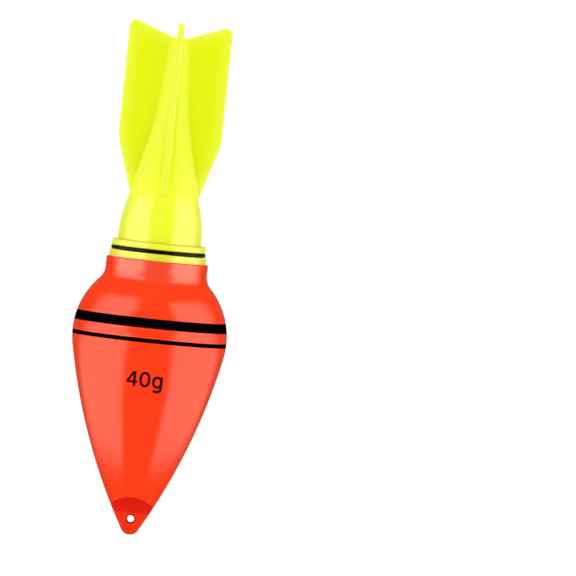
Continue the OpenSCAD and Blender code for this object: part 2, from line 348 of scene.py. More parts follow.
def inkStops(low, high):
    # heights where the profile needs points, so that the bed of each band has clean edges
    edges = [z + s * bands["bed"] for band in ("wide", "thin") for z in bands[band] for s in (-1, 0, 1)]
    return [z for z in edges if low < z < high]


def outside(low, high, spacing=0.6):
    # outline from low to high with points at the bands' edges too
    path = between(outline, low, high, spacing)
    z = np.unique(np.concatenate([path[:, 1], inkStops(low, high)]))
    return underInk(np.column_stack([np.interp(z, path[:, 1], path[:, 0]), z]))


# Nose of the lower shell: a flat lug with the line eye, a ramp, and the round-ended recess
nose = {
    "eyeRadius": 1.05,
    "eyeHeight": -tipZ / mm,
    "eyeRounding": 0.2,
    "lugHalf": 1.5,
    "lugHeight": 6.55,
    "ramp": math.tan(math.radians(20)),
    "foldWidth": 0.1,  # how soft the fold between lug and ramp is
    "recessRadius": 8.5,
    "recessHeight": 2.75,
    "footRounding": 0.3,
    "edgeRounding": 0.22,
    "top": 13.2,  # here the nose's grid ends and the turned outline begins
    "topCells": 88,
    "sideCells": 64,
    "sidePower": 1.15,  # draws the columns on the nose's sides together towards the tip
    "flankPower": 1.3,  # draws the rows on the body together towards the recess
    "rows": {"bore": 3, "rim": 5, "floor": 33, "foot": 5, "wall": 4, "edge": 6, "flank": 15},
}
around = ring(2 * nose["topCells"])  # every column of the shells and bands


def recessFloor(z):
    # half thickness left between the two recesses: flat lug, then a ramp, with a soft fold between
    w = nose["foldWidth"]
    return nose["lugHalf"] + nose["ramp"] * w * np.logaddexp(0, (z - nose["lugHeight"]) / w)


def corner(a, p, b, steps):
    # a rounded corner: the blend (1-t)^2 a + 2t(1-t) p + t^2 b between two sides
    t = np.linspace(0, 1, steps + 1)[:, None, None]
    return (1 - t) ** 2 * a + 2 * t * (1 - t) * p + t ** 2 * b


def bodyDepth(x, z):
    # y of the body's surface over a point of the middle plane
    return np.sqrt(np.maximum(bodyRadius(z) ** 2 - x ** 2, 0))


def noseBorder():
    # the outer border of the half with y >= 0: over the top circle, down one side, round the tip
    # and up the other, as angles round from the front and distances along the outline
    n = nose
    top = np.interp(n["top"], outline[:, 1], runAlong(outline))
    swing = np.linspace(90, -90, n["topCells"] + 1)[:-1]
    down = np.linspace(1, -1, 2 * n["sideCells"] + 1)[:-1]
    angle = np.radians(np.concatenate([swing, np.where(down >= 0, -90, 90)]))
    return angle, top * np.concatenate([np.full(n["topCells"], 1), np.abs(down) ** n["sidePower"]])


def floorReach(c, s, high):
    # how far from the eye, in directions (c, s), the floor meets the body: found by halving
    low = np.full(len(c), nose["eyeRadius"])
    for _ in range(40):
        mid = (low + high) / 2
        z = nose["eyeHeight"] + mid * s
        inside = bodyDepth(mid * c, z) > recessFloor(z)
        low, high = np.where(inside, mid, low), np.where(inside, high, mid)
    return low


def noseHalf():
    # the half with y >= 0 as one grid: columns run round the eye, rows go from the middle of the
    # eye's bore over its rim, the lug and ramp, the recess wall and the body to the middle plane
    n, eye = nose, nose["eyeHeight"]
    outerAngle, outerRun = noseBorder()
    r, z = atRun(outline, outerRun).T
    direction = np.arctan2(z - eye, r * np.sin(outerAngle))
    c, s = np.cos(direction), np.sin(direction)
    # the floor ends at the recess's round outline or, where that lies outside, at the body
    reach = floorReach(c, s, np.hypot(r * np.sin(outerAngle), z - eye))
    drop = eye - n["recessHeight"]
    toCircle = -s * drop + np.sqrt(n["recessRadius"] ** 2 - (c * drop) ** 2)
    edge = np.minimum(reach, toCircle)
    edgeX, edgeZ = edge * c, eye + edge * s
    floorDepth = recessFloor(edgeZ)
    wallHeight = np.where(toCircle < reach, bodyDepth(edgeX, edgeZ) - floorDepth, 0)

    def onPath(t):
        # along the floor for t < 0, and up the wall for t > 0
        rho = edge + np.minimum(t, 0)
        z = eye + rho * s
        y = np.where(t < 0, recessFloor(z), floorDepth + np.maximum(t, 0))
        return np.stack([rho * c, y, z], -1)

    # the body's surface unrolled: distance round from the front, and along the outline from the tip
    startRun = np.interp(edgeZ, outline[:, 1], runAlong(outline))
    startRound = np.arcsin(np.clip(edgeX / bodyRadius(edgeZ), -1, 1)) * bodyRadius(edgeZ)
    stepRound, stepRun = r * outerAngle - startRound, outerRun - startRun

    def onBody(t):
        r, z = atRun(outline, startRun + stepRun * t).T
        a = (startRound + stepRound * t) / np.maximum(r, 1e-6)
        a = np.where(t >= 1, outerAngle, a)
        return np.stack([r * np.sin(a), r * np.cos(a), z], -1)

    topOfEdge = wallHeight - n["edgeRounding"]
    foot = np.clip(topOfEdge / 2, 0, n["footRounding"])
    before = np.minimum(-foot, topOfEdge)
    at, after = np.minimum(0, topOfEdge), np.minimum(foot, topOfEdge)
    steps = {name: np.linspace(0, 1, count + 1) for name, count in n["rows"].items()}
    rim = math.pi / 2 * steps["rim"][:, None]
    rimRho = n["eyeRadius"] + n["eyeRounding"] * (1 - np.cos(rim))
    rimDepth = n["lugHalf"] - n["eyeRounding"] * (1 - np.sin(rim))
    rim = np.stack([rimRho * c, rimDepth + 0 * c, eye + rimRho * s], -1)
    bore = steps["bore"][:-1, None, None] * [0, 1, 0] * rimDepth[0, 0] + rim[0] * [1, 0, 1]
    start = rimRho[-1, 0] - edge
    floor = np.stack([onPath(start + (before - start) * t) for t in steps["floor"]])
    wall = np.stack([onPath(after + (topOfEdge - after) * t) for t in steps["wall"]])
    past = n["edgeRounding"] / np.hypot(stepRound, stepRun)
    flank = np.stack([onBody(past + (1 - past) * t) for t in steps["flank"] ** n["flankPower"]])
    return np.concatenate([
        bore, rim[:-1], floor[:-1], corner(floor[-1], onPath(at), wall[0], n["rows"]["foot"])[:-1],
        wall[:-1], corner(wall[-1], onBody(np.zeros(len(c))), flank[0], n["rows"]["edge"])[:-1], flank])


def lowerShell():
    # the nose's two halves, and above it the body's outline turned about the axis, with the lap
    # that the upper shell takes, the inside wall, and the ballast's post
    front = noseHalf()
    b, seam = body, body["seamHeight"]
    rim = outside(nose["top"], seam - b["seamEdge"])
    innerTop = seam - 0.5  # from here the inside wall goes straight up into the lap
    inner = between(innerOutline, b["floorHeight"], innerTop, spacing=1.2)
    lap, lapTop = b["bellyRadius"] - b["wall"] / 2 - b["bond"], seam + b["seamLap"] - b["bond"]
    edges = roundedPath([
        (rim[-1, 0], seam - b["seamEdge"], 0), (rim[-1, 0] - b["seamEdge"], seam, 0),
        (lap, seam, b["lapRounding"] / 2), (lap, lapTop, b["lapRounding"]),
        (inner[-1, 0], lapTop, b["lapRounding"]), (inner[-1, 0], innerTop, 0)])
    post = roundedPath([
        (inner[0, 0], b["floorHeight"], 0), (b["postRadius"], b["floorHeight"], b["postRounding"]),
        (b["postRadius"], b["postHeight"], b["postRounding"]), (0, b["postHeight"], 0)])
    profile = np.concatenate([rim, edges[1:], inner[::-1][1:-1], post])
    return [(front, True), (front * [1, -1, 1], True)] + turned(profile, around)


def upperShell():
    # the body's outline from the seam to the neck, closed by its mouth, inside wall and lap
    b = body
    top, bottom = b["neckHeight"], b["seamHeight"] + b["bond"]
    outerTop, innerTop = top - 0.25, top - 0.3  # here the mouth's rounded edges begin
    outer = outside(bottom + b["seamEdge"], outerTop)
    lap, lapTop = b["bellyRadius"] - b["wall"] / 2, b["seamHeight"] + b["seamLap"]
    inner = between(innerOutline, lapTop, innerTop, spacing=1.0)
    mouth = roundedPath([
        (outer[-1, 0], outerTop, 0), (outer[-1, 0], top, b["mouthRounding"]),
        (inner[-1, 0], top, b["mouthRounding"]), (inner[-1, 0], innerTop, 0)])
    foot = roundedPath([
        (inner[0, 0], lapTop, 0), (lap, lapTop, 0), (lap, bottom, b["seamEdge"]),
        (outer[0, 0] - b["seamEdge"], bottom, 0), (outer[0, 0], outer[0, 1], 0)])
    profile = np.concatenate([outer, mouth[1:], inner[::-1][1:], foot[1:-1], outer[:1]])
    return turned(profile, around)


collar = {
    "rimRadius": 14.15,
    "rimHeight": highest("neck_collar"),
    "underRim": body["neckHeight"] + body["bond"],
    "sleeveRadius": 13.26,
    "foot": lowest("neck_collar"),
    "bore": 11.95,
    "rimRounding": 0.22,
    "rimRootRounding": 0.05,
    "footRounding": 0.2,
    "columns": 176,
    "thread": {"start": 71.605, "turns": 3, **screw},
}


def neckCollar():
    # a revolved rim and sleeve; the bore is the radius less the height of the thread's helix
    c = collar
    outer = roundedPath([
        (c["bore"], c["foot"], 0), (c["sleeveRadius"], c["foot"], c["footRounding"]),
        (c["sleeveRadius"], c["underRim"], c["rimRootRounding"]),
        (c["rimRadius"], c["underRim"], c["rimRounding"]),
        (c["rimRadius"], c["rimHeight"], c["rimRounding"]), (c["bore"], c["rimHeight"], 0)], steps=5)
    bore = threadedWall(c["bore"], -1, c["foot"], c["rimHeight"], c["thread"], c["columns"])
    return turned(spread(outer, spacing=1), ring(c["columns"])) + bore


seal = {"columns": 176, "rows": 28}


def sealRing():
    # a torus: its section's circle turned about the axis
    low, high = lowest("seal_ring"), highest("seal_ring")
    half = (high - low) / 2
    centre = (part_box("seal_ring")[1].x / mm - half, (high + low) / 2)
    return turned(arc(centre, half, 0, 360, seal["rows"]), ring(seal["columns"]))


# Tail: threaded spigot, flange, a bell that narrows to a hollow core, and four fins.
# Its heights are in mm from the flange's underside.
spigotLength = 12.5
tail = {
    "base": lowest("tail") + spigotLength,
    "foot": -spigotLength,
    "bore": 9.7,
    "spigot": 10.9,
    "spigotEdge": 0.3,
    "threadTop": -1.6,
    "landRadius": 12.65,
    "landFoot": -1.1,
    "landRounding": 0.15,
    "landRootRounding": 0.1,
    "flangeRadius": 13.75,
    "flangeHeight": 1.9,
    "flangeRounding": 0.5,
    "bellRootRounding": 0.3,
    "bellFoot": 12.15,
    "bellHeight": 3.4,
    "bellRadius": 32,
    "bellAngle": math.radians(14.4),
    "waistHeight": 28.9,
    "waistRadius": 106,
    "coreAngle": math.radians(3.7),
    "coreHeight": 61.4,
    "coreBore": 2.45,
    "airOverStick": 0.2,
    "wall": 1.3,
    "thread": {"start": -10.575, "turns": 2.5, **screw},
    "blendFrom": 8,  # from here the bell's columns gather towards the fins
    "steps": {"bell": 16, "waist": 30, "dome": 24, "blend": 20, "cap": 6, "hollow": 90},
}

fin = {
    "count": 4,
    "half": 0.75,
    "reach": 15,
    "foot": 15.75,
    "lowerCorner": 31.6,
    "lowerRounding": 17,
    "axisHeight": 60.965,
    "slope": math.radians(20.2),
    "topRounding": 1.8,
    "edgeRounding": 0.4,
    "fillet": 0.35,
    "filletShare": 0.6,  # the most of the gap to the next fin that a fillet takes
    "meeting": 1.5,  # the radius at which the fins' top edges run into the cap on the dome
    "levelTo": 58,  # up to here a fin's rows run level into the core
    "grownAt": 2.2,  # so far from the core a fin has its whole thickness
    "grownAtTop": 0.8,  # the same where the rows no longer run level
    "facePower": 1.3,  # draws the columns on a fin's faces together towards its edge
    "columns": {"flat": 2, "edge": 4, "face": 12, "fillet": 4, "core": 9},
}


def coreOutline(inset=0):
    # outward curve of the bell, straight side, inward curve of the waist, straight core and dome
    t, steps = tail, tail["steps"]
    slope, lean = t["bellAngle"], t["coreAngle"]
    bellCentre = np.array([t["bellFoot"] - t["bellRadius"], t["bellHeight"]])
    bellEnd = bellCentre + t["bellRadius"] * unit(slope)
    r = bellEnd[0] - (t["waistHeight"] - bellEnd[1]) * math.tan(slope)
    waistCentre = np.array([r, t["waistHeight"]]) + t["waistRadius"] * unit(slope)
    waistEnd = waistCentre - t["waistRadius"] * unit(lean)
    domeFoot = waistEnd[0] - (t["coreHeight"] - waistEnd[1]) * math.tan(lean)
    domeRadius = domeFoot / (math.cos(lean) - (1 - math.sin(lean)) * math.tan(lean))
    domeCentre = (0, t["coreHeight"] - domeRadius)
    return np.concatenate([
        arc(bellCentre, t["bellRadius"] - inset, 0, math.degrees(slope), steps["bell"]),
        arc(waistCentre, t["waistRadius"] + inset,
            180 + math.degrees(slope), 180 + math.degrees(lean), steps["waist"]),
        arc(domeCentre, domeRadius - inset, math.degrees(lean), 90, steps["dome"])])


core = coreOutline()
dome = core[-tail["steps"]["dome"] - 1:]


def coreRadius(h):
    # how wide bell, waist and core are at a height
    return np.interp(h, core[:, 1], core[:, 0])


def corePoints(h):
    # the same as points (r, z)
    return np.column_stack([coreRadius(h), h])


def domeHeight(r):
    # how high the core's dome is at a radius
    return np.interp(r, dome[::-1, 0], dome[::-1, 1])


def pathNormals(path):
    # unit normals on the right-hand side of a path (r, z)
    step = np.gradient(path, axis=0)
    step /= np.linalg.norm(step, axis=1, keepdims=True)
    return np.column_stack([step[:, 1], -step[:, 0]])


def finOutline():
    # slanted edge from the bell, upright edge, and the top edge that slopes down to the core
    f = fin
    top = f["axisHeight"] + f["reach"] * math.tan(f["slope"])
    inner = (f["meeting"], f["axisHeight"] + f["meeting"] * math.tan(f["slope"]), 0)
    return roundedPath([
        (coreRadius(f["foot"]), f["foot"], 0), (f["reach"], f["lowerCorner"], f["lowerRounding"]),
        (f["reach"], top, f["topRounding"]), inner], steps=14)


def finPaths():
    # the fin's outline, and for each of its points the point of the core that its row ends at: level
    # with it low down, and shared out along the core's end higher up
    f = fin
    path = spread(finOutline(), spacing=0.6)
    near = np.array([0.04, 0.1, 0.2, 0.34, 0.5, 0.7])[:, None]  # rows where the fin grows from the bell
    path = np.concatenate([path[:1], path[0] + (path[1] - path[0]) * near, path[1:]])
    level = int(np.argmax(path[:, 1] > f["levelTo"]))
    start = path[level, 1]
    upper = core[(core[:, 1] > start) & (core[:, 0] > f["meeting"])]
    upper = np.concatenate([corePoints(start), upper, [[f["meeting"], domeHeight(f["meeting"])]]])
    run = runAlong(path)
    share = np.maximum(run - run[level], 0) / (run[-1] - run[level])
    root = atRun(upper, share * runAlong(upper)[-1])
    root[:level] = corePoints(path[:level, 1])
    return path, root, level


def finRows():
    # one eighth of the tail from a fin's middle plane to halfway to the next fin; each row goes from
    # a point of the fin's outline over its rounded edge and flat side to a point of the core
    f, n = fin, fin["columns"]
    path, root, level = finPaths()
    edge, normal = pathNormals(path), pathNormals(root)
    rc, rz = root[:, :1], root[:, 1:]
    reach = np.where(np.arange(len(path)) < level, f["grownAt"], f["grownAtTop"])
    grown = smoothStep(np.linalg.norm(path - root, axis=1) / reach)[:, None]
    rounding = f["edgeRounding"] * grown
    fillet = np.minimum(f["fillet"] * grown, (rc * math.sqrt(0.5) - f["half"]) * f["filletShare"])
    a = np.linspace(0, math.pi / 2, n["edge"] + 1)[None]
    y = np.concatenate([
        (f["half"] - rounding) * np.linspace(0, 1, n["flat"] + 1)[None, :-1],
        f["half"] - rounding + rounding * np.sin(a)], axis=1)
    depth = np.concatenate([np.zeros((len(path), n["flat"])), rounding * (1 - np.cos(a))], axis=1)
    sag = (1 - grown) * (rc - np.sqrt(rc ** 2 - y ** 2))
    rim = np.stack([path[:, :1] - edge[:, :1] * depth - sag, y, path[:, 1:] - edge[:, 1:] * depth], -1)
    foot = np.column_stack([np.sqrt(rc ** 2 - f["half"] ** 2), 0 * rc + f["half"], rz])
    off = foot + fillet * np.column_stack([normal[:, 0], 0 * normal[:, 0], normal[:, 1]])
    t = np.linspace(0, 1, n["face"] + 1)[None, 1:, None] ** f["facePower"]
    face = rim[:, -1:] * (1 - t) + off[:, None] * t
    angle = np.arcsin((f["half"] + fillet) / rc)
    land = polar(rc, angle, rz)[:, 0]
    fillet = corner(off, foot, land, n["fillet"])[1:].swapaxes(0, 1)
    angle = angle + (math.pi / 4 - angle) * np.linspace(0, 1, n["core"] + 1)[None, 1:]
    return np.concatenate([rim, face, fillet, polar(rc, angle, rz)], axis=1)


def fourfold(eighth):
    # an eighth and its mirror image, turned into each quarter
    parts = []
    for quarter in range(fin["count"]):
        for part, turn in ((eighth[:, :-1], quarter), (eighth[:, :0:-1] * [1, -1, 1], quarter + 1)):
            c, s = unit(turn * math.pi / 2)
            parts.append(part @ np.array([[c, s, 0], [-s, c, 0], [0, 0, 1]]))
    return np.concatenate(parts, axis=1)


def tailShell():
    # the spigot's thread and end, the flange, the bell whose columns gather towards the fins, the
    # fins, the cap where they meet on the dome, and the hollow inside
    t, steps = tail, tail["steps"]
    fins = finRows()
    even = np.linspace(0, math.pi / 4, fins.shape[1])
    gathered = np.arctan2(fins[0, :, 1], fins[0, :, 0])
    columns = 2 * fin["count"] * (fins.shape[1] - 1)
    angles = ring(columns)
    low = t["foot"] + t["spigotEdge"]
    spigot = threadedWall(t["spigot"], 1, low, t["threadTop"], t["thread"], columns)
    end = np.array([[t["bore"], t["foot"]], [t["spigot"] - t["spigotEdge"], t["foot"]], [t["spigot"], low]])
    flange = roundedPath([
        (t["spigot"], t["threadTop"], 0), (t["spigot"], t["landFoot"], t["landRootRounding"]),
        (t["landRadius"], t["landFoot"], t["landRounding"]), (t["landRadius"], 0, t["landRounding"]),
        (t["flangeRadius"], 0, t["flangeRounding"]),
        (t["flangeRadius"], t["flangeHeight"], t["flangeRounding"]),
        (t["bellFoot"], t["flangeHeight"], t["bellRootRounding"]),
        (t["bellFoot"], t["bellHeight"], 0)], steps=6)
    low = core[(core[:, 1] > t["bellHeight"]) & (core[:, 1] < t["blendFrom"])]
    low = np.concatenate([flange, low, corePoints(t["blendFrom"])])
    h = np.linspace(t["blendFrom"], fin["foot"], steps["blend"])[1:-1, None]
    share = smoothStep((h - t["blendFrom"]) / (fin["foot"] - t["blendFrom"]))
    bell = polar(coreRadius(h), even + (gathered - even) * share, h)
    edge = fins[-1]
    shrink = 1 - np.linspace(0, 1, steps["cap"])[1:, None]
    radius = np.linalg.norm(edge[:, :2], axis=1)
    height = domeHeight(radius * shrink) + (edge[:, 2] - domeHeight(radius)) * shrink ** 2
    cap = np.stack([edge[:, 0] * shrink, edge[:, 1] * shrink, height], -1)
    low = revolve(spread(low, spacing=0.8), angles)
    upper = np.concatenate([low, fourfold(np.concatenate([bell, fins, cap]))])
    # hollow: bell and waist set in by the wall, never wider than the spigot's bore
    inner = coreOutline(t["wall"])[:-steps["dome"] - 2]
    top = highest("stick_tube") + t["airOverStick"] - t["base"]
    h = np.concatenate([np.linspace(t["foot"], inner[-1, 1], steps["hollow"]), [top]])
    r = np.clip(np.interp(h, inner[:, 1], inner[:, 0]), t["coreBore"], t["bore"])
    r[-1] = t["coreBore"]
    hollow = np.concatenate([np.column_stack([r, h]), [[0, top]]])
    patches = spigot + turned(end, angles) + [(upper, True)] + turned(hollow, angles)
    return [(grid + [0, 0, t["base"]], closed) for grid, closed in patches]


def bandFilm(low, high):
    # a thin ring of ink on the outline, as deep as the bed drawn in the shell
    stops = inkStops(low - 0.001, high + 0.001)
    z = np.unique(np.concatenate([between(outline, low, high, spacing=0.4)[:, 1], stops]))
    z = np.concatenate([[low + bands["shy"]], z[2:-2], [high - bands["shy"]]])
    face = np.column_stack([bodyRadius(z), z])
    back = underInk(face) + [bands["air"], 0]
    return turned(np.concatenate([face, back[::-1], face[:1]]), around)


# The weight mark: a number and its unit in plain upright letters, wrapped round the shell.
mark = {
    "baseline": 44.03,
    "offset": 0.185,  # of its middle to the right
    "stroke": 0.72,
    "digitHeight": 4.45,
    "gap": 0.55,
    "cut": 0.35,  # width of the strips that let the letters bend
    "lift": 0.003,  # of the ink's underside from the shell
    "film": 0.012,
}


def ellipse(centre, wide, high, start=0, end=360, count=48, squareness=2.25):
    # a slightly squared ellipse: |x / wide|^n + |y / high|^n = 1
    a = np.radians(np.linspace(start, end, count + 1))
    c, s = np.cos(a), np.sin(a)
    power = 2 / squareness
    x = wide * np.sign(c) * np.abs(c) ** power
    return np.column_stack([centre[0] + x, centre[1] + high * np.sign(s) * np.abs(s) ** power])


def digitFour():
    # a stem, a crossbar and a slanting side, round a three-sided hole
    w, top, bar = mark["stroke"], mark["digitHeight"], 1.0
    stem, right = 1.93, 3.15
    barTop = bar + 0.9 * w
    outer = [(stem, 0), (stem + w, 0), (stem + w, bar), (right, bar), (right, barTop), (stem + w, barTop),
             (stem + w, top), (stem - 0.1, top), (0, barTop + 0.05), (0, bar), (stem, bar)]
    inner = [(stem, barTop), (stem, top - 0.98), (0.76, barTop)]
    return [np.array(outer), np.array(inner)], right


def digitZero():
    # a squared ellipse with a smaller one as its hole
    w, top = mark["stroke"], mark["digitHeight"] + 0.1
    wide, centre = 1.6, (1.6, top / 2 - 0.05)
    return [ellipse(centre, wide, top / 2)[:-1], ellipse(centre, wide - w, top / 2 - w)[:-1]], 2 * wide


def letterG():
    # a bowl that meets a stem, and a hook below it
    w, wide, high = mark["stroke"], 1.52, 1.76
    centre, stem = np.array([1.52, 1.7]), 2.33
    outer = ellipse(centre, wide, high, start=20, end=340, count=60)
    outer = outer[outer[:, 0] < stem]
    hole = ellipse(centre, wide - w, high - w, count=60)[:-1]
    hook = ellipse((1.5, 0.05), stem + w / 2 - 1.5, 1.13, end=-92, count=20, squareness=2)
    hook = spread(np.concatenate([hook, [[0.42, -0.93]]]), spacing=0.15)
    side = pathNormals(hook) * w / 2
    right, left = hook - side, hook + side
    if right[0, 0] < left[0, 0]:
        right, left = left, right
    top = [(stem + w, 3.4), (stem + 0.12, 3.4), (stem, 2.95)]
    edge = np.concatenate([right[::-1], top, outer, left[left[:, 1] < outer[-1, 1] - 0.05]])
    return [edge, hole], stem + w


def weightMark():
    # flat letters cut into upright strips, given a thickness, then bent: (x, y) goes to the
    # angle x / R(z) from the front at height z = baseline + y and radius R(z) + lift
    curve = bpy.data.curves.new("weight_mark", "CURVE")
    curve.dimensions = "2D"
    curve.fill_mode = "BOTH"
    x = 0
    for outlines, width in (digitFour(), digitZero(), letterG()):
        for points in outlines:
            spline = curve.splines.new("POLY")
            spline.points.add(len(points) - 1)
            flat = np.column_stack([points[:, 0] + x, points[:, 1], 0 * points[:, 0], 0 * points[:, 0] + 1])
            spline.points.foreach_set("co", flat.ravel())
            spline.use_cyclic_u = True
        x += width + mark["gap"]
    middle = (x - mark["gap"]) / 2
    holder = bpy.data.objects.new("weight_mark_outline", curve)
    flat = bpy.data.meshes.new_from_object(holder)
    bpy.data.objects.remove(holder)
    work = bmesh.new()
    work.from_mesh(flat)
    bpy.data.meshes.remove(flat)
    bmesh.ops.remove_doubles(work, verts=work.verts, dist=1e-4)
    bmesh.ops.translate(work, verts=work.verts, vec=(mark["offset"] - middle, 0, 0))
    for x in np.arange(-middle, middle + 1, mark["cut"]):
        everything = work.verts[:] + work.edges[:] + work.faces[:]
        bmesh.ops.bisect_plane(work, geom=everything, dist=1e-4, plane_co=(x, 0, 0), plane_no=(1, 0, 0))
    flatCount = len(work.verts)
    bmesh.ops.extrude_face_region(work, geom=work.faces[:], use_keep_orig=True)
    mesh = bpy.data.meshes.new("weight_mark_ink")
    work.to_mesh(mesh)
    work.free()
    count = len(mesh.vertices)
    co = np.empty(count * 3)
    mesh.vertices.foreach_get("co", co)
    x, y = co.reshape(-1, 3)[:, :2].T
    z = mark["baseline"] + y
    radius = bodyRadius(z)
    angle = x / radius
    radius = radius + mark["lift"] + mark["film"] * (np.arange(count) >= flatCount)
    bent = np.column_stack([radius * np.sin(angle), -radius * np.cos(angle), z]) * mm + [0, 0, tipZ]
    mesh.vertices.foreach_set("co", bent.ravel())
    mesh.update()
    cleanMesh(mesh, sharp=30)
    return mesh


# Materials
def toLinear(red, green, blue):
    # linear light from an 8-bit display colour
    c = np.array([red, green, blue]) / 255
    linear = np.where(c <= 0.04045, c / 12.92, ((c + 0.055) / 1.055) ** 2.4)
    return (*[float(v) for v in linear], 1.0)


def scaled(colour, factor):
    # a colour made lighter or darker
    return tuple(factor * v for v in colour[:3]) + (1.0,)


def connect(tree, node, inputs):
    # each input, by its name or number, is linked to a socket or takes a plain value
    for key, value in inputs.items():
        if isinstance(value, bpy.types.NodeSocket):
            tree.links.new(value, node.inputs[key])
        else:
            node.inputs[key].default_value = value


def addNode(tree, kind, inputs=None, **settings):
    node = tree.nodes.new("ShaderNode" + kind)
    for key, value in settings.items():
        setattr(node, key, value)
    connect(tree, node, inputs or {})
    return node


def calculate(tree, operation, a, b=0.0, c=0.0, clamp=False):
    return addNode(tree, "Math", {0: a, 1: b, 2: c}, operation=operation, use_clamp=clamp).outputs[0]


def times(tree, a, b):
    return calculate(tree, "MULTIPLY", a, b)


def diagonal(tree, a, b):
    # square root of a^2 + b^2
    return calculate(tree, "SQRT", calculate(tree, "MULTIPLY_ADD", a, a, times(tree, b, b)))


def remap(tree, value, low, high, toLow=0.0, toHigh=1.0):
    inputs = {"Value": value, "From Min": low, "From Max": high, "To Min": toLow, "To Max": toHigh}
    return addNode(tree, "MapRange", inputs, interpolation_type="SMOOTHSTEP").outputs["Result"]


def noise(tree, vector, scale, detail=1.0, roughness=0.5):
    inputs = {"Vector": vector, "Scale": scale, "Detail": detail, "Roughness": roughness}
    return addNode(tree, "TexNoise", inputs).outputs["Fac"]


def specks(tree, vector, look):
    # dots round the points of a Voronoi pattern, kept only in the patches of a wide noise
    dots = addNode(tree, "TexVoronoi", {"Vector": vector, "Scale": look["scale"]}).outputs["Distance"]
    kept = remap(tree, noise(tree, vector, look["patchScale"], detail=0.0), *look["patches"])
    return times(tree, remap(tree, dots, *look["sizes"], 0.0, look["strength"]), kept)


def mixColour(tree, share, a, b):
    return addNode(tree, "Mix", {0: share, 6: a, 7: b}, data_type="RGBA").outputs[2]


def byHeight(tree, axes, low, high, toLow=0.0, toHigh=1.0):
    # a soft step between two heights, in mm from the tip
    return remap(tree, axes["Z"], inFrame(low), inFrame(high), toLow, toHigh)


def axesOf(tree, vector):
    return addNode(tree, "SeparateXYZ", {0: vector}).outputs


def pointValue(tree, name):
    return addNode(tree, "Attribute", attribute_name=name).outputs["Fac"]


def newGroup(name, inputs, outputs):
    # inputs and outputs are {name: kind}, a kind being Color, Vector or Float
    group = bpy.data.node_groups.new(name, "ShaderNodeTree")
    for side, sockets in (("INPUT", inputs), ("OUTPUT", outputs)):
        for key, kind in sockets.items():
            group.interface.new_socket(key, in_out=side, socket_type="NodeSocket" + kind)
    return group, group.nodes.new("NodeGroupInput").outputs, group.nodes.new("NodeGroupOutput")


hairlines = {
    "scale": 190.0,
    "directions": ((0.4, 11.0), (-0.9, 9.0)),  # each with a lean and a stretch
    "halfWidth": 0.0035,
    "patchScale": 70.0,
    "patches": (0.56, 0.66),
    "amount": 0.3,
}


def fineScratches():
    # thin hairlines: the steep middle of a stretched noise, kept only in sparse patches
    look = hairlines
    group, given, out = newGroup("fineScratches", {"Vector": "Vector"}, {"Mask": "Float"})
    masks = []
    for lean, stretch in look["directions"]:
        inputs = {"Vector": given["Vector"], "Rotation": (0.3, lean, 0.5), "Scale": (1.0, 1.0, stretch)}
        lines = noise(group, addNode(group, "Mapping", inputs).outputs["Vector"], look["scale"])
        away = calculate(group, "ABSOLUTE", calculate(group, "SUBTRACT", lines, 0.5))
        masks.append(remap(group, away, look["halfWidth"], 0.0))
    kept = remap(group, noise(group, given["Vector"], look["patchScale"]), *look["patches"])
    mask = times(group, calculate(group, "MAXIMUM", *masks), kept)
    connect(group, out, {"Mask": times(group, mask, look["amount"])})
    return group


moulded = {
    "peelScale": 1500.0,
    "peelDepth": 0.0006,
    "waveScale": 170.0,
    "waveDepth": 0.004,
    "hairDepth": 0.0012,
    "cloudScale": 95.0,
    "grainScale": 2600.0,
    "grainShare": 0.35,
    "mottle": 0.04,
    "dust": {"scale": 420.0, "sizes": (0.055, 0.03), "strength": 0.16,
             "patchScale": 240.0, "patches": (0.6, 0.66), "colour": toLinear(150, 140, 120)},
    "cloudRoughness": 0.06,
    "hairRoughness": 0.35,
    "dustRoughness": 1.2,
}


def mouldedPlastic():
    # moulded surface: orange peel, slow waves, faint mottling of the colour, dust and hairlines
    look = moulded
    group, given, out = newGroup(
        "mouldedPlastic", {"Vector": "Vector", "Color": "Color", "Roughness": "Float"},
        {"Color": "Color", "Roughness": "Float", "Height": "Float"})
    vector = given["Vector"]
    hair = addNode(group, "Group", {"Vector": vector}, node_tree=fineScratches()).outputs["Mask"]
    waves = noise(group, vector, look["waveScale"])
    height = times(group, noise(group, vector, look["peelScale"]), look["peelDepth"])
    height = calculate(group, "MULTIPLY_ADD", waves, look["waveDepth"], height)
    height = calculate(group, "MULTIPLY_ADD", hair, -look["hairDepth"], height)
    cloud = noise(group, vector, look["cloudScale"], detail=3.0, roughness=0.6)
    grain = times(group, noise(group, vector, look["grainScale"]), look["grainShare"])
    both = calculate(group, "MULTIPLY_ADD", cloud, 1 - look["grainShare"], grain)
    swing = times(group, calculate(group, "SUBTRACT", both, 0.5), look["mottle"])
    tone = {"Color": given["Color"], "Value": calculate(group, "ADD", swing, 1.0)}
    tone = addNode(group, "HueSaturation", tone).outputs["Color"]
    dust = specks(group, vector, look["dust"])
    rough = calculate(group, "ADD", given["Roughness"], -look["cloudRoughness"] / 2)
    for mask, name in ((cloud, "cloud"), (hair, "hair"), (dust, "dust")):
        rough = calculate(group, "MULTIPLY_ADD", mask, look[name + "Roughness"], rough)
    connect(group, out, {
        "Color": mixColour(group, dust, tone, look["dust"]["colour"]), "Roughness": rough, "Height": height})
    return group


plasticGroup = mouldedPlastic()


def newMaterial(name, inputs=None):
    # a Principled material; inputs are plain values for the shader's own sockets
    material = bpy.data.materials.new(name)
    material.use_nodes = True
    tree = material.node_tree
    tree.nodes.clear()
    shader = addNode(tree, "BsdfPrincipled", inputs)
    addNode(tree, "OutputMaterial", {"Surface": shader.outputs[0]}, is_active_output=True)
    return material, tree, shader, addNode(tree, "TexCoord").outputs["Object"]


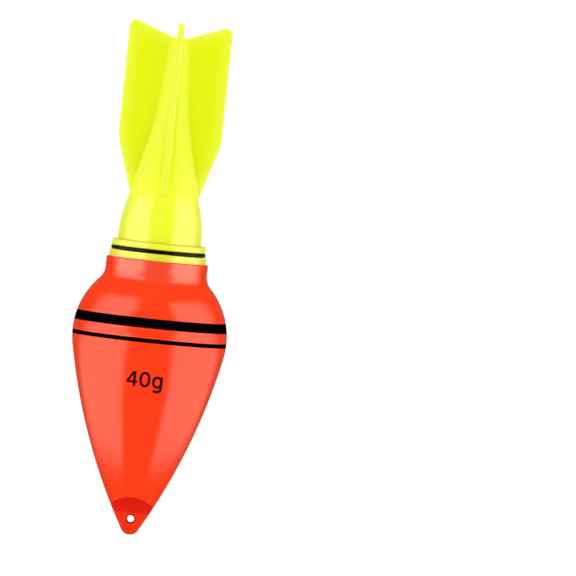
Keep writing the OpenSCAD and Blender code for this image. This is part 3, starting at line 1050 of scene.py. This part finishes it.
def bumped(tree, shader, height):
    bump = addNode(tree, "Bump", {"Height": height, "Strength": 1.0, "Distance": mm})
    connect(tree, shader, {"Normal": bump.outputs["Normal"]})


def plasticFinish(tree, shader, place, colour, roughness):
    # the shared moulded plastic drives a shader's colour, roughness and bump
    inputs = {"Vector": place, "Color": colour, "Roughness": roughness}
    skin = addNode(tree, "Group", inputs, node_tree=plasticGroup).outputs
    connect(tree, shader, {"Base Color": skin["Color"], "Roughness": skin["Roughness"]})
    bumped(tree, shader, skin["Height"])


def facing(tree, fadeFrom=0.6, fadeTo=0.92):
    # 1 where a surface faces the viewer, falling to 0 at its outline, to keep outlines clean
    edge = addNode(tree, "LayerWeight", {"Blend": 0.5}).outputs["Facing"]
    return remap(tree, edge, fadeFrom, fadeTo, 1.0, 0.0)


redLook = {
    "shell": toLinear(255, 59, 12),
    # painted shade: inside the recess the ramp and the lug are painted darker than the shell, the ramp
    # darkest
    "recess": toLinear(231, 26, 0),
    "lug": toLinear(248, 47, 0),
    # painted shade on the lug's narrow edge and round the eye's bore
    "edge": toLinear(150, 8, 0),
    "recessSpill": 0.05,  # how far the recess's colour goes past its wall
    "recessBlur": 0.15,
    "edgeWidth": 0.25,
    "edgeShade": 0.45,
    "rimWidth": 0.5,
    "rimShade": 0.9,
    "neck": (73, 77.6),
    "neckFade": (0.25, 0.5),
    "coat": {"Coat IOR": 1.6, "Coat Roughness": 0.3},
    "roughness": 0.15,
}


def redPlastic():
    look = redLook
    material, tree, shader, place = newMaterial("redPlastic", look["coat"])
    axes = axesOf(tree, place)
    # inside the round recess, painted darker as shade: the distance from its centre in the XZ plane
    up = calculate(tree, "SUBTRACT", axes["Z"], inFrame(nose["recessHeight"]))
    end = (nose["recessRadius"] + look["recessSpill"]) * mm
    recess = remap(tree, diagonal(tree, up, axes["X"]), end, end - look["recessBlur"] * mm)
    ramp = byHeight(tree, axes, nose["lugHeight"] - nose["foldWidth"], nose["lugHeight"] + nose["foldWidth"])
    inside = mixColour(tree, ramp, look["lug"], look["recess"])
    # the lug's narrow edge and the eye's bore are painted darker, as shade
    end = nose["lugHalf"] * mm
    off = calculate(tree, "ABSOLUTE", axes["Y"])
    lugEdgeShade = remap(tree, off, end, end - look["edgeWidth"] * mm, 0.0, look["edgeShade"])
    inside = mixColour(tree, lugEdgeShade, inside, look["edge"])
    end = (nose["eyeRadius"] + look["rimWidth"]) * mm
    fromEye = diagonal(tree, axes["X"], axes["Z"])
    rim = remap(tree, fromEye, end, end - look["rimWidth"] / 2 * mm, 0.0, look["rimShade"])
    inside = mixColour(tree, rim, inside, look["edge"])
    plasticFinish(tree, shader, place, mixColour(tree, recess, look["shell"], inside), look["roughness"])
    # the neck is glossier than the rest
    coat = times(tree, byHeight(tree, axes, *look["neck"]), facing(tree, *look["neckFade"]))
    connect(tree, shader, {"Coat Weight": coat})
    return material


# Fluorescent plastic looks paler towards its outline, which the sheen does
fluorescent = {
    "Coat IOR": 1.7,
    "Sheen Weight": 1.0,
    "Sheen Roughness": 0.45,
    "Sheen Tint": toLinear(255, 255, 140),
}

yellowLook = {
    "shader": {"Coat Roughness": 0.14, "Specular IOR Level": 0.15, **fluorescent},
    "fin": toLinear(232, 245, 0),
    # a painted glow along the fins' outline
    "finRimPaintedGlow": toLinear(239, 249, 64),
    # painted shade at the fins' roots low down
    "finRootPaintedShade": toLinear(221, 229, 0),
    "bell": toLinear(244, 254, 36),
    "core": toLinear(236, 249, 36),
    "fins": (tail["base"] + 16, tail["base"] + 24),
    # painted shade in the crease between flange and bell
    "paintedCreaseShade": toLinear(206, 190, 8),
    "paintedCreaseHalf": 0.3 * mm,
    "coatEnds": (tail["base"] + 12, tail["base"] + 17),
    "coats": (0.94, 0.14),  # on the bell and on the core
    "roughness": 0.2,
}


def yellowPlastic():
    look = yellowLook
    material, tree, shader, place = newMaterial("yellowPlastic", look["shader"])
    axes = axesOf(tree, place)
    onCore = pointValue(tree, "coreGloss")
    colour = mixColour(tree, onCore, look["fin"], look["core"])
    colour = mixColour(tree, byHeight(tree, axes, *look["fins"]), look["bell"], colour)
    # painted shade at the fins' roots low down
    colour = mixColour(tree, pointValue(tree, "rootShade"), colour, look["finRootPaintedShade"])
    # a painted glow along the fins' outline
    colour = mixColour(tree, pointValue(tree, "paintedRimGlow"), colour, look["finRimPaintedGlow"])
    # painted shade in the crease between flange and bell
    off = calculate(tree, "SUBTRACT", axes["Z"], inFrame(tail["base"] + tail["flangeHeight"]))
    half = look["paintedCreaseHalf"]
    creaseShadeMask = remap(tree, calculate(tree, "ABSOLUTE", off), half, half * 0.4)
    plasticFinish(tree, shader, place, mixColour(tree, creaseShadeMask, colour, look["paintedCreaseShade"]), look["roughness"])
    # the bell is the glossiest, the core less, the fins' faces not at all
    coat = times(tree, byHeight(tree, axes, *look["coatEnds"], *look["coats"]), onCore)
    connect(tree, shader, {"Coat Weight": times(tree, coat, facing(tree))})
    return material


collarLook = {
    "shader": {"Coat Roughness": 0.16, **fluorescent},
    "colour": toLinear(234, 237, 48),
    "roughness": 0.25,
    "coat": 0.7,
}


def collarPlastic():
    look = collarLook
    material, tree, shader, place = newMaterial("collarPlastic", look["shader"])
    plasticFinish(tree, shader, place, look["colour"], look["roughness"])
    connect(tree, shader, {"Coat Weight": times(tree, facing(tree), look["coat"])})
    return material


rubberLook = {
    "clean": toLinear(8, 7, 6),
    "dusty": toLinear(30, 27, 22),
    "dustScale": 420.0,
    "dust": (0.55, 0.75),
    "roughness": (0.28, 0.5),
    "poreScale": 2400.0,
    "poreDepth": 0.004,
}


def sealRubber():
    # matt black rubber with fine pores and a little dust
    look = rubberLook
    material, tree, shader, place = newMaterial("sealRubber", {"Specular IOR Level": 0.15})
    cloud = noise(tree, place, look["dustScale"], detail=3.0, roughness=0.7)
    dust = remap(tree, cloud, *look["dust"])
    connect(tree, shader, {
        "Base Color": mixColour(tree, dust, look["clean"], look["dusty"]),
        "Roughness": remap(tree, dust, 0.0, 1.0, *look["roughness"])})
    bumped(tree, shader, times(tree, noise(tree, place, look["poreScale"], detail=2.0), look["poreDepth"]))
    return material


inkLook = {
    "filmScale": 620.0,
    "filmDepth": 0.0015,
    "thin": (0.35, 0.7),
    "thinShade": 1.7,
    "pinholes": {"scale": 900.0, "sizes": (0.07, 0.04), "strength": 0.35,
                 "patchScale": 300.0, "patches": (0.6, 0.68), "colour": toLinear(90, 30, 20)},
    "rough": (0.3, 0.7),
    "roughness": (0.4, 0.48),
}


def printInk(name, colour):
    # printed ink: slight unevenness of the film and pinholes
    look = inkLook
    material, tree, shader, place = newMaterial(name, {"Specular IOR Level": 0.0})
    film = noise(tree, place, look["filmScale"], detail=2.0)
    thin = remap(tree, film, *look["thin"])
    tone = mixColour(tree, thin, colour, scaled(colour, look["thinShade"]))
    pins = specks(tree, place, look["pinholes"])
    connect(tree, shader, {
        "Base Color": mixColour(tree, pins, tone, look["pinholes"]["colour"]),
        "Roughness": remap(tree, film, *look["rough"], *look["roughness"])})
    bumped(tree, shader, times(tree, film, look["filmDepth"]))
    return material


steelLook = {
    "marksScale": 5200.0,
    "marksDepth": 0.003,
    "patinaScale": 260.0,
    "patina": (0.42, 0.68),
    "patinaShade": 0.55,
    "patinaRoughness": 0.25,
}


def turnedSteel(name, colour, roughness):
    # metal with fine turning marks, ring-shaped about the axis, and a dull patina in patches
    look = steelLook
    material, tree, shader, place = newMaterial(name, {"Metallic": 1.0})
    axes = axesOf(tree, place)
    rings = addNode(tree, "CombineXYZ", {0: diagonal(tree, axes["Y"], axes["X"]), 1: axes["Z"]}).outputs[0]
    dull = noise(tree, place, look["patinaScale"], detail=4.0, roughness=0.6)
    dull = remap(tree, dull, *look["patina"])
    connect(tree, shader, {
        "Base Color": mixColour(tree, dull, colour, scaled(colour, look["patinaShade"])),
        "Roughness": remap(tree, dull, 0.0, 1.0, roughness, roughness + look["patinaRoughness"])})
    marks = noise(tree, rings, look["marksScale"], detail=2.0)
    bumped(tree, shader, times(tree, marks, look["marksDepth"]))
    return material


def simplePlastic(name, colour, roughness, inputs=None):
    material, tree, shader, place = newMaterial(name, inputs)
    plasticFinish(tree, shader, place, colour, roughness)
    return material


glassLook = {
    "shader": {"Roughness": 0.03, "IOR": 1.47, "Transmission Weight": 1.0},
    "tints": (toLinear(226, 250, 236), toLinear(240, 255, 246)),
    "tintScale": 300.0,
    "rippleScale": 380.0,
    "rippleDepth": 0.004,
}


def ampouleGlass():
    # thin clear glass with faint ripples
    look = glassLook
    material, tree, shader, place = newMaterial("ampouleGlass", look["shader"])
    tint = mixColour(tree, noise(tree, place, look["tintScale"]), *look["tints"])
    connect(tree, shader, {"Base Color": tint})
    bumped(tree, shader, times(tree, noise(tree, place, look["rippleScale"]), look["rippleDepth"]))
    return material


materials = {
    "red_shell": redPlastic(),
    "yellow_tail": yellowPlastic(),
    "yellow_collar": collarPlastic(),
    "seal_rubber": sealRubber(),
    "black_ink": printInk("bandInk", toLinear(3, 1, 3)),
    "mark_ink": printInk("markInk", toLinear(46, 2, 2)),
    "ballast_steel": turnedSteel("ballastSteel", (0.45, 0.45, 0.46, 1.0), roughness=0.32),
    "retainer_steel": turnedSteel("retainerSteel", (0.6, 0.6, 0.62, 1.0), roughness=0.22),
    "white_plastic": simplePlastic("whitePlastic", toLinear(232, 231, 226), roughness=0.3),
    "stick_plastic": simplePlastic(
        "stickPlastic", toLinear(205, 243, 130), roughness=0.15, inputs={"Transmission Weight": 0.75}),
    "ampoule_glass": ampouleGlass(),
}
print("materials made")


finGlow = {
    "rimWidth": 2.1,
    "rootWidth": 1.6,
    "rootTop": 50,
    "rootFade": 20,
    "coreEnd": 0.72,  # how far out from the core its gloss ends
    "coreFade": 0.6,
    "slack": 0.02,
}


def markFins(mesh):
    # three vertex values: nearness to the fins' outline, for a painted glow along it, nearness to the fins'
    # roots low down, for painted shade there, and whether the point is on the core
    g = finGlow
    x, y, z = pointsOf(mesh)
    h = z - tail["base"]
    along, across = np.maximum(np.abs(x), np.abs(y)), np.minimum(np.abs(x), np.abs(y))
    fromCore = along - coreRadius(h)
    near = (across < fin["half"] + g["slack"]) & (along > coreRadius(h) * (1 - g["slack"]))
    near &= h > fin["foot"]
    away = np.full(len(h), np.inf)
    for p in spread(finOutline(), spacing=0.3):
        away[near] = np.minimum(away[near], np.hypot(along[near] - p[0], h[near] - p[1]))
    low = np.clip((g["rootTop"] - h) / g["rootFade"], 0, 1)
    setPointValues(mesh, "paintedRimGlow", np.where(near, np.exp(-(away / g["rimWidth"]) ** 2), 0))
    setPointValues(mesh, "rootShade", np.where(near, np.exp(-fromCore / g["rootWidth"]), 0) * low)
    onCore = np.clip((g["coreEnd"] - fromCore) / g["coreFade"], 0, 1)
    setPointValues(mesh, "coreGloss", np.where(h > fin["foot"], onCore, 1))


# Each skin takes the place of the CAD node that it is named after
skins = {
    "lower_shell": (lowerShell, "float_body", "red_shell"),
    "upper_shell": (upperShell, "float_body", "red_shell"),
    "neck_collar": (neckCollar, "float_body", "yellow_collar"),
    "seal_ring": (sealRing, "seal_ring", "seal_rubber"),
    "tail": (tailShell, "tail", "yellow_tail"),
}

# The parts inside keep their shapes and get their finishes
finishes = {
    "ballast_weight": "ballast_steel",
    "ballast_retainer": "retainer_steel",
    "stick_holder": "white_plastic",
    "stick_tube": "stick_plastic",
    "stick_plug": "white_plastic",
    "stick_ampoule": "ampoule_glass",
}


def buildPieces():
    # skins in place of CAD nodes, then the printed ink, then the finishes of the parts inside
    for node, (shape, carrier, slot) in skins.items():
        skin = weldedMesh(node + "_skin", shape())
        if node == "tail":
            markFins(skin)
        addPiece(node + "_skin", skin, materials[slot], carrier, node)
    for name in ("wide", "thin"):
        band = weldedMesh(name + "_band_ink", bandFilm(*bands[name]))
        addPiece(name + "_band_ink", band, materials["black_ink"], "float_body")
    addPiece("weight_mark_ink", weightMark(), materials["mark_ink"], "float_body")
    for node, finish in finishes.items():
        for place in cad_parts[node].material_slots:
            place.material = materials[finish]
    print("pieces made")


buildPieces()


# Light: a white room, a dark tent with two tall soft windows that only reflections see, and a
# soft light above
white = (1.0, 1.0, 1.0, 1.0)
room = {
    "fill": 1.04,
    "background": 1.0,
    "overheadPower": 1.6,
    "overheadSize": 0.7,
    "overheadHeight": 0.9,
    "floorDrop": 0.045,
    "floorRadius": 0.8,
    "floorMiddle": 0.02,  # radius of the innermost ring of faces
    "floorRings": 24,
    "floorColumns": 96,
    "paper": ((0.86, 0.86, 0.86, 1.0), (0.9, 0.9, 0.9, 1.0)),
    "paperScale": 60.0,
    "floorLift": 0.16,
}

# Each window's inner and outer azimuth from the front, by elevation, and the windows' lowest and
# highest elevation, by azimuth, in degrees
tent = {
    "radius": 1000,
    "centre": 70,
    "rows": 120,
    "columns": 180,
    "dark": 0.02,
    "behind": 0.1,
    "behindFrom": 0.6,  # on the cosine of the angle from straight behind
    "behindFade": 0.3,
    "bright": 2.75,
    "tint": (1.0, 0.96, 0.78, 1.0),
    "elevation": [-60, -45, -33, -21, -10, 0, 8, 26, 34],
    "left": {"inner": [47, 44, 41, 33, 30, 27, 34, 38, 29],
             "outer": [178, 178, 173, 158, 126, 106, 106, 106, 104]},
    "right": {"inner": [50, 48, 46, 39, 37, 35, 41, 44, 39],
              "outer": [175, 175, 170, 158, 132, 116, 116, 116, 114]},
    "azimuth": [0, 43, 70, 79, 100, 108, 128, 134, 146, 180],
    "low": [-50, -47.5, -42.5, -40, -34, -32, -24, -21.5, -16, -9],
    "high": [57, 54, 48.5, 46.5, 40, 37, 29, 26, 20, 10],
    "feather": 8,
    "featherAcross": 18,
    "featherOuter": 32,
}


def reflectance(degrees):
    # share of light that plastic of this refractive index reflects at an angle from its normal
    index = 1.5
    c = np.cos(np.radians(degrees))
    g = np.sqrt(index ** 2 - 1 + c ** 2)
    across, along = (g - c) / (g + c), (index ** 2 * c - g) / (index ** 2 * c + g)
    return (across ** 2 + along ** 2) / 2


def makeWorld():
    # the fill light, and a background of its own for the camera, reflections and clear parts
    world = bpy.data.worlds.new("room")
    bpy.context.scene.world = world
    world.use_nodes = True
    tree = world.node_tree
    tree.nodes.clear()
    rays = addNode(tree, "LightPath").outputs
    seen = calculate(tree, "ADD", rays["Is Camera Ray"], rays["Is Glossy Ray"])
    seen = calculate(tree, "ADD", seen, rays["Is Transmission Ray"], clamp=True)
    strength = calculate(tree, "MULTIPLY_ADD", seen, room["background"] - room["fill"], room["fill"])
    light = addNode(tree, "Background", {"Color": white, "Strength": strength})
    addNode(tree, "OutputWorld", {"Surface": light.outputs[0]})


def makeTent():
    # a sphere about the object, seen only by reflections; how brightly each point shines is the
    # product of soft steps across the edges of the windows
    t = tent
    sphere = turned(arc((0, t["centre"]), t["radius"], -90, 90, t["rows"]), ring(t["columns"]))
    mesh = weldedMesh("tent", sphere, sharp=180)
    x, y, z = pointsOf(mesh)
    azimuth = np.degrees(np.arctan2(x, -y))
    elevation = np.degrees(np.arcsin(np.clip((z - t["centre"]) / t["radius"], -1, 1)))
    glow = np.zeros(len(x))
    for side, aside in (("left", -azimuth), ("right", azimuth)):
        inner = np.interp(elevation, t["elevation"], t[side]["inner"])
        outer = np.interp(elevation, t["elevation"], t[side]["outer"])
        across = smoothStep((aside - inner) / t["featherAcross"] + 0.5)
        glow += across * smoothStep((outer - aside) / t["featherOuter"] + 0.5)
    low = np.interp(np.abs(azimuth), t["azimuth"], t["low"])
    high = np.interp(np.abs(azimuth), t["azimuth"], t["high"])
    glow *= smoothStep((elevation - low) / t["feather"] + 0.5)
    glow *= smoothStep((high - elevation) / t["feather"] + 0.5)
    # a surface that turns away reflects more, so the light is lowered there to stay even
    forward = np.cos(np.radians(azimuth)) * np.cos(np.radians(elevation))
    even = reflectance(0) / reflectance(np.degrees(np.arccos(forward)) / 2)
    behind = smoothStep((-forward - t["behindFrom"]) / t["behindFade"])
    dark = t["dark"] + (t["behind"] - t["dark"]) * behind
    setPointValues(mesh, "radiance", dark + (t["bright"] * even - dark) * np.clip(glow, 0, 1))
    material = bpy.data.materials.new("tent")
    material.use_nodes = True
    tree = material.node_tree
    tree.nodes.clear()
    light = addNode(tree, "Emission", {"Color": t["tint"], "Strength": pointValue(tree, "radiance")})
    addNode(tree, "OutputMaterial", {"Surface": light.outputs[0]})
    mesh.materials.append(material)
    wrap = addObject("tent", mesh)
    for ray in ("camera", "diffuse", "transmission", "volume_scatter", "shadow"):
        setattr(wrap, "visible_" + ray, False)


def makeFloor():
    # pale disc; to the camera it is lifted to white where no shadow falls
    rings = np.geomspace(room["floorMiddle"], room["floorRadius"], room["floorRings"])
    rings = np.concatenate([[0], rings / mm])
    profile = np.column_stack([rings, np.full(len(rings), -room["floorDrop"] / mm)])
    mesh = weldedMesh("floor", turned(profile, ring(room["floorColumns"])), sharp=180)
    material, tree, shader, place = newMaterial(
        "paleFloor", {"Roughness": 0.9, "Specular IOR Level": 0.0, "Emission Color": white})
    seen = addNode(tree, "LightPath").outputs["Is Camera Ray"]
    connect(tree, shader, {
        "Base Color": mixColour(tree, noise(tree, place, room["paperScale"], detail=3.0), *room["paper"]),
        "Emission Strength": times(tree, seen, room["floorLift"])})
    mesh.materials.append(material)
    floor = addObject("floor", mesh)
    floor.visible_glossy = False


def makeLights():
    makeWorld()
    makeTent()
    lamp = bpy.data.lights.new("overhead", "AREA")
    lamp.shape = "DISK"
    lamp.size = room["overheadSize"]
    lamp.energy = room["overheadPower"]
    above = addObject("overhead", lamp)
    above.location = (0, 0, room["overheadHeight"])
    above.visible_glossy = False
    print("lights made")


view = {
    "distance": 3.0,
    "lens": 644.4,
    "sensor": 36,
    "elevation": math.radians(1.8),
    "roll": math.radians(5.95),
    "aimHeight": 74.7,
    "right": 38.59,  # how far the camera is moved aside in its own plane, and up
    "up": -2.45,
}


def makeCamera():
    # a level camera a little above, rolled so that the float leans; its middle is beside the float
    v = view
    data = bpy.data.cameras.new("camera")
    data.lens = v["lens"]
    data.sensor_width = v["sensor"]
    data.clip_start = 0.01
    aim = Matrix.Translation((0, 0, inFrame(v["aimHeight"])))
    lean = Matrix.Rotation(math.pi / 2 - v["elevation"], 4, "X") @ Matrix.Rotation(v["roll"], 4, "Z")
    camera = addObject("camera", data)
    camera.matrix_world = aim @ lean @ Matrix.Translation((v["right"] * mm, v["up"] * mm, v["distance"]))
    bpy.context.scene.camera = camera
    print("camera placed")


makeFloor()
makeLights()
makeCamera()
bpy.context.scene.view_settings.view_transform = "Standard"
